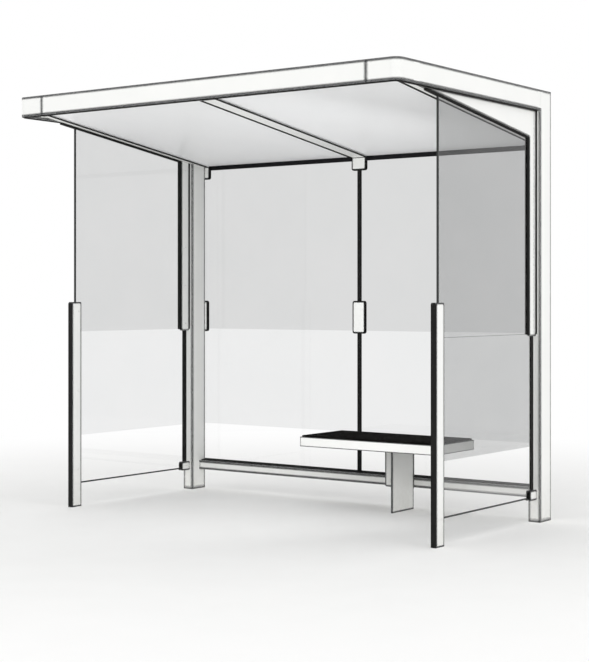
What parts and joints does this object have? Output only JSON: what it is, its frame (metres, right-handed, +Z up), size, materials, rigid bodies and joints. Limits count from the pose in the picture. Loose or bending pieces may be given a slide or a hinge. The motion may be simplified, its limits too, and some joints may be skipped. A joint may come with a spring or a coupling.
{
  "type": "bus shelter",
  "caption": "Glazed bus shelter: white steel portal frame, roof falling to the rear, glass side and rear walls and a slatted bench right of the middle.",
  "frame": {"origin": "on the ground, below the middle of the shelter's length and depth", "axes": "+X along the shelter to the right seen from the open front, +Y to the rear wall, +Z up"},
  "size_m": [2.766, 1.742, 2.565],
  "materials": {
    "white_steel": "satin powder coat",
    "wall_glass": "polished, with printed tint bands",
    "roof_glass": "obscured grey",
    "slat_black": "black stain",
    "zinc_steel": "zinc plated",
    "black_rubber": "matt",
    "dark_trim": "black anodised"
  },
  "bodies": {
    "root": {"bedding_tape_left": "black_rubber", "bedding_tape_right": "black_rubber", "fascia_front": "white_steel", "fascia_sleeve_left": "zinc_steel", "fascia_sleeve_right": "zinc_steel", "front_nosing_left": "black_rubber", "front_nosing_right": "black_rubber", "front_post_left": "white_steel", "front_post_right": "white_steel", "head_trim_left": "dark_trim", "head_trim_right": "dark_trim", "inner_plate_left": "white_steel", "inner_plate_right": "white_steel", "joint_seal": "black_rubber", "mid_clamp_centre": "white_steel", "mid_clamp_left": "white_steel", "mid_clamp_right": "white_steel", "outer_plate_left": "white_steel", "outer_plate_right": "white_steel", "pane_shoe_left": "white_steel", "pane_shoe_right": "white_steel", "rafter_seal_left": "black_rubber", "rafter_seal_right": "black_rubber", "rail_gasket": "black_rubber", "rear_pane_left": "wall_glass", "rear_pane_right": "wall_glass", "rear_post_left": "white_steel", "rear_post_right": "white_steel", "rear_rail": "white_steel", "roof_edge_angle_left": "white_steel", "roof_edge_angle_right": "white_steel", "roof_panel_left": "roof_glass", "roof_panel_right": "roof_glass", "roof_rafter": "white_steel", "seat_bracket": "white_steel", "seat_frame": "white_steel", "seat_leg": "white_steel", "seat_slats": "slat_black", "side_beam_left": "white_steel", "side_beam_right": "white_steel", "side_pane_left": "wall_glass", "side_pane_right": "wall_glass", "top_clamp_centre": "white_steel", "top_clamp_left": "white_steel", "top_clamp_right": "white_steel"}
  },
  "joints": []
}
